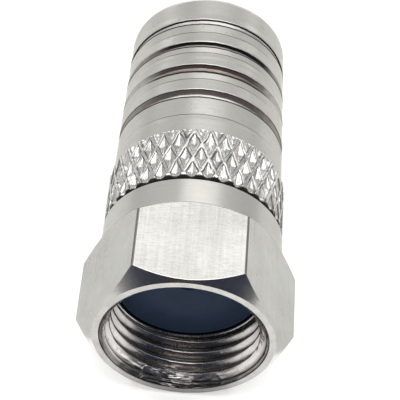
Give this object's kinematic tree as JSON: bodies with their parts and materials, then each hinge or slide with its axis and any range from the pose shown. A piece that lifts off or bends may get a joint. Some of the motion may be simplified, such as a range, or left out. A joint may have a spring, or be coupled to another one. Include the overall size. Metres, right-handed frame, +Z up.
{
  "type": "f connector",
  "caption": "Male F plug for RG6 coaxial cable: hexagonal coupling nut that spins on a post, knurled grip, tapered grooved barrel, and a dark guide disc inside the threaded socket.",
  "frame": {"origin": "the point of the surface it lies on that is under the middle of its length and its axis", "axes": "+Y along the plug's axis, from the nut's mouth to the cable end; +Z up from the flat of the nut it lies on; two corners of the hexagon point to -X and +X"},
  "size_m": [0.0126, 0.024, 0.011],
  "materials": {
    "nut_nickel": "satin",
    "barrel_nickel": "satin",
    "post_nickel": "satin",
    "guide_plastic": "matte",
    "seal_rubber": "matte"
  },
  "bodies": {
    "barrel": {"body_barrel": "barrel_nickel", "post": "post_nickel", "pin_guide": "guide_plastic", "nut_seal": "seal_rubber"},
    "nut": {"coupling_nut": "nut_nickel"}
  },
  "joints": [
    {"name": "nut_spin", "type": "hinge", "parent": "barrel", "child": "nut", "pos_m": [0, -0.0056, 0.0055], "axis": [0, -1, 0], "continuous": true}
  ]
}
